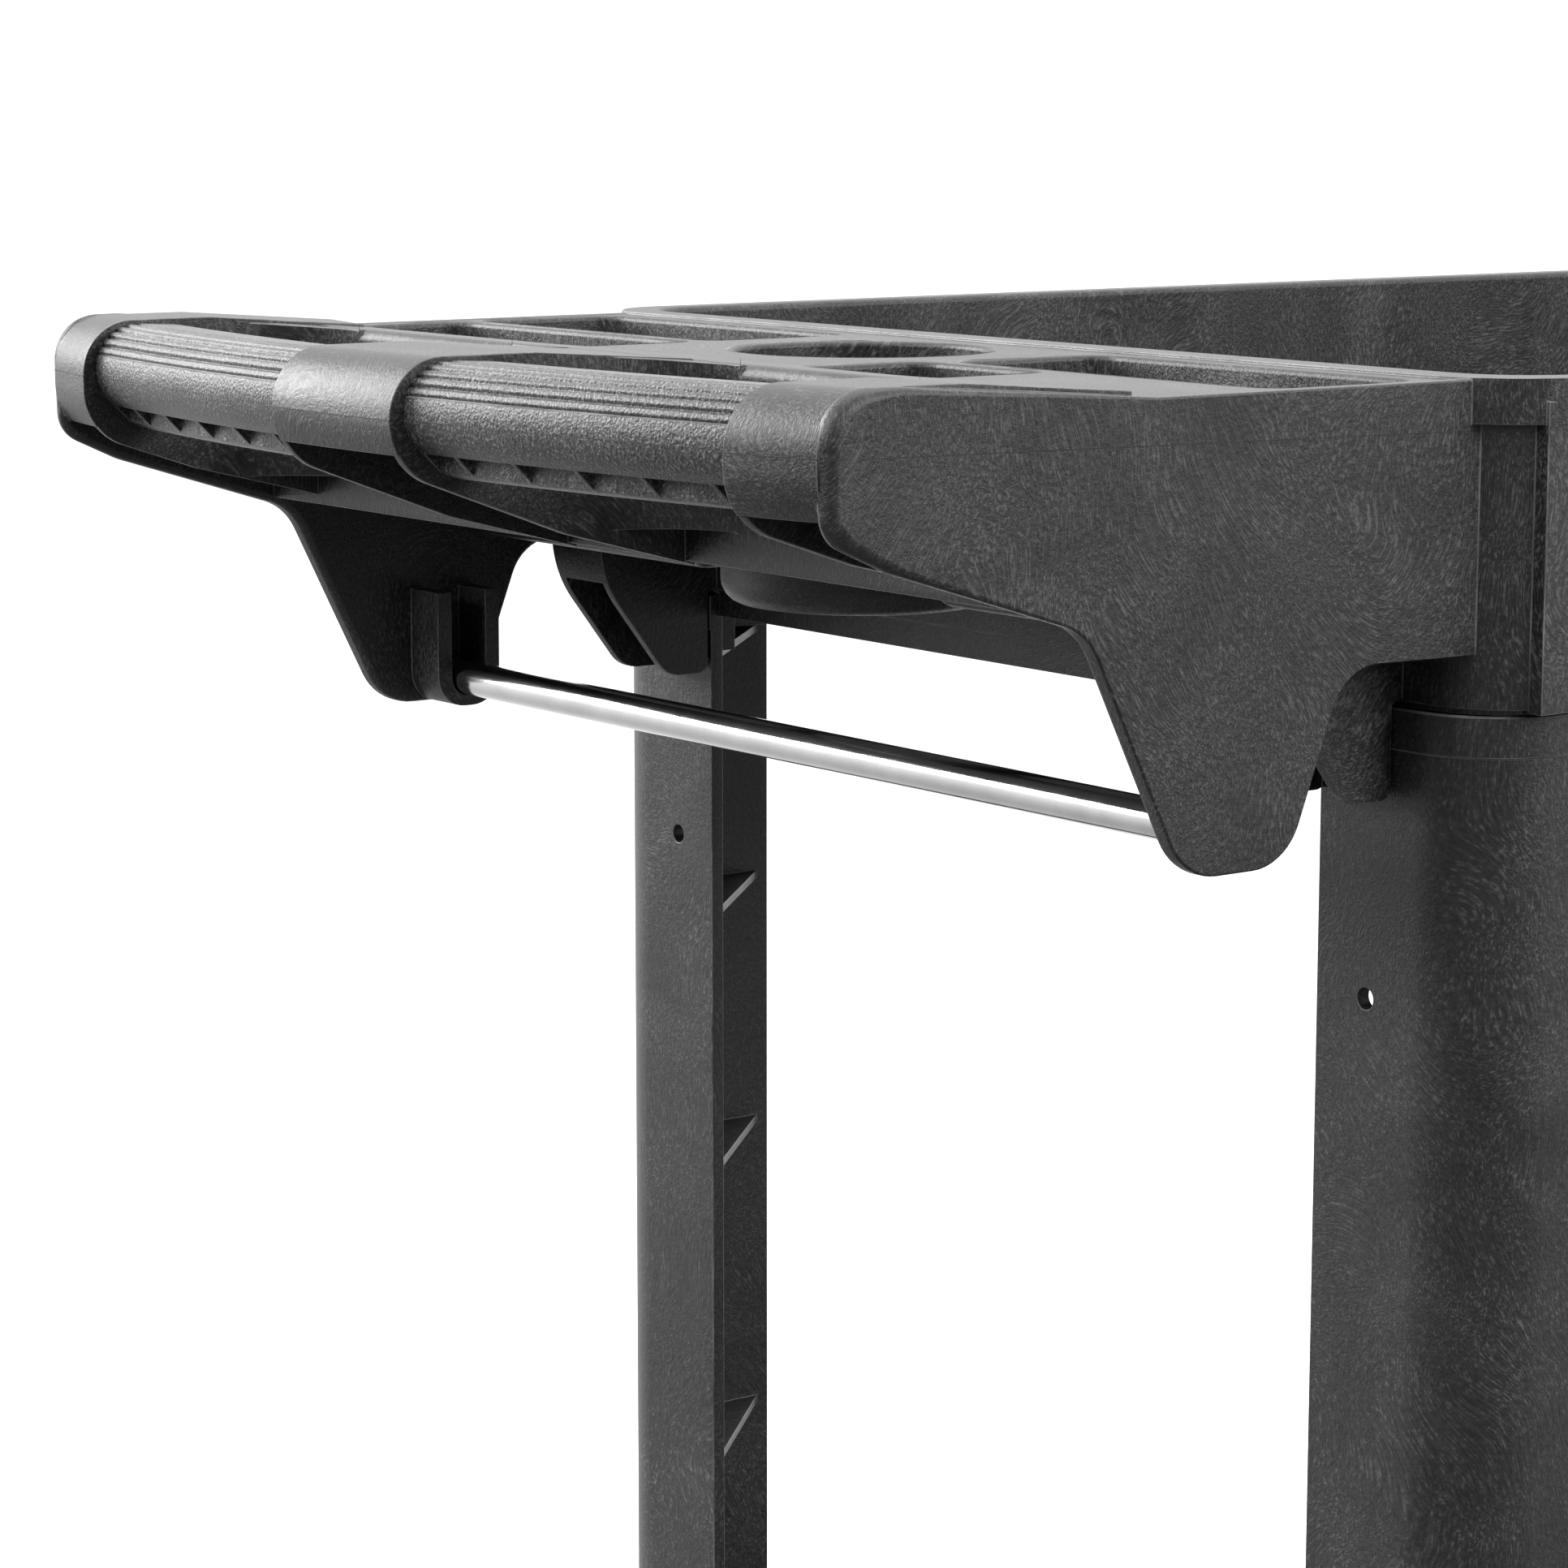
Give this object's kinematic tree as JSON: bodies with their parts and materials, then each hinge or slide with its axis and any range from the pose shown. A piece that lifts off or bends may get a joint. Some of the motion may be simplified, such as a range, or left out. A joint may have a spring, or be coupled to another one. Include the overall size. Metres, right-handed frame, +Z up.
{
  "type": "two-shelf utility cart",
  "caption": "Black resin two-shelf utility cart with a moulded grip handle, cup holder, small-parts tray, hanging bar and plate casters.",
  "frame": {"origin": "on the floor, under the middle of the cart's outline", "axes": "+X away from the handle along the cart's length, +Y across the cart to the side with the larger front compartment, +Z up"},
  "size_m": [1.016, 0.4628, 0.8452],
  "materials": {
    "resin": "moulded structural foam, satin with a swirled grain",
    "bar_steel": "polished chrome plate",
    "zinc_steel": "bright zinc plate",
    "tread_rubber": "matte",
    "hub_plastic": "satin"
  },
  "bodies": {
    "cart": {"top_shelf": "resin", "bottom_shelf": "resin", "leg_handle_end_near_side": "resin", "leg_handle_end_far_side": "resin", "leg_far_end_near_side": "resin", "leg_far_end_far_side": "resin", "swivel_caster_near_mount_plate": "zinc_steel", "swivel_caster_near_bearing_race": "zinc_steel", "swivel_caster_near_kingpin": "zinc_steel", "swivel_caster_near_bolt_1": "zinc_steel", "swivel_caster_near_bolt_2": "zinc_steel", "swivel_caster_near_bolt_3": "zinc_steel", "swivel_caster_near_bolt_4": "zinc_steel", "swivel_caster_far_mount_plate": "zinc_steel", "swivel_caster_far_bearing_race": "zinc_steel", "swivel_caster_far_kingpin": "zinc_steel", "swivel_caster_far_bolt_1": "zinc_steel", "swivel_caster_far_bolt_2": "zinc_steel", "swivel_caster_far_bolt_3": "zinc_steel", "swivel_caster_far_bolt_4": "zinc_steel", "rigid_caster_near_bracket": "zinc_steel", "rigid_caster_near_axle_bolt": "zinc_steel", "rigid_caster_near_axle_nut": "zinc_steel", "rigid_caster_near_spacer_outer": "zinc_steel", "rigid_caster_near_spacer_inner": "zinc_steel", "rigid_caster_near_bolt_1": "zinc_steel", "rigid_caster_near_bolt_2": "zinc_steel", "rigid_caster_near_bolt_3": "zinc_steel", "rigid_caster_near_bolt_4": "zinc_steel", "rigid_caster_far_bracket": "zinc_steel", "rigid_caster_far_axle_bolt": "zinc_steel", "rigid_caster_far_axle_nut": "zinc_steel", "rigid_caster_far_spacer_outer": "zinc_steel", "rigid_caster_far_spacer_inner": "zinc_steel", "rigid_caster_far_bolt_1": "zinc_steel", "rigid_caster_far_bolt_2": "zinc_steel", "rigid_caster_far_bolt_3": "zinc_steel", "rigid_caster_far_bolt_4": "zinc_steel"},
    "bar": {"hanging_bar": "bar_steel"},
    "swivel_near": {"swivel_caster_near_fork": "zinc_steel", "swivel_caster_near_axle_bolt": "zinc_steel", "swivel_caster_near_axle_nut": "zinc_steel", "swivel_caster_near_spacer_outer": "zinc_steel", "swivel_caster_near_spacer_inner": "zinc_steel"},
    "swivel_far": {"swivel_caster_far_fork": "zinc_steel", "swivel_caster_far_axle_bolt": "zinc_steel", "swivel_caster_far_axle_nut": "zinc_steel", "swivel_caster_far_spacer_outer": "zinc_steel", "swivel_caster_far_spacer_inner": "zinc_steel"},
    "swivel_wheel_near": {"swivel_caster_near_tread": "tread_rubber", "swivel_caster_near_hub": "hub_plastic"},
    "swivel_wheel_far": {"swivel_caster_far_tread": "tread_rubber", "swivel_caster_far_hub": "hub_plastic"},
    "rigid_wheel_near": {"rigid_caster_near_tread": "tread_rubber", "rigid_caster_near_hub": "hub_plastic"},
    "rigid_wheel_far": {"rigid_caster_far_tread": "tread_rubber", "rigid_caster_far_hub": "hub_plastic"}
  },
  "joints": [
    {"name": "swivel_near_turn", "type": "hinge", "parent": "cart", "child": "swivel_near", "pos_m": [-0.186, -0.17, 0.143], "axis": [0, 0, 1], "continuous": true},
    {"name": "swivel_far_turn", "type": "hinge", "parent": "cart", "child": "swivel_far", "pos_m": [-0.186, 0.17, 0.143], "axis": [0, 0, 1], "continuous": true},
    {"name": "swivel_wheel_near_roll", "type": "hinge", "parent": "swivel_near", "child": "swivel_wheel_near", "pos_m": [-0.224, -0.17, 0.0635], "axis": [0, 1, 0], "continuous": true},
    {"name": "rigid_wheel_near_roll", "type": "hinge", "parent": "cart", "child": "rigid_wheel_near", "pos_m": [0.433, -0.17, 0.0635], "axis": [0, 1, 0], "continuous": true},
    {"name": "swivel_wheel_far_roll", "type": "hinge", "parent": "swivel_far", "child": "swivel_wheel_far", "pos_m": [-0.224, 0.17, 0.0635], "axis": [0, 1, 0], "continuous": true},
    {"name": "rigid_wheel_far_roll", "type": "hinge", "parent": "cart", "child": "rigid_wheel_far", "pos_m": [0.433, 0.17, 0.0635], "axis": [0, 1, 0], "continuous": true},
    {"name": "bar_lift", "type": "slide", "parent": "cart", "child": "bar", "axis": [0, 0, 1], "range_m": [0, 0.0265]}
  ]
}
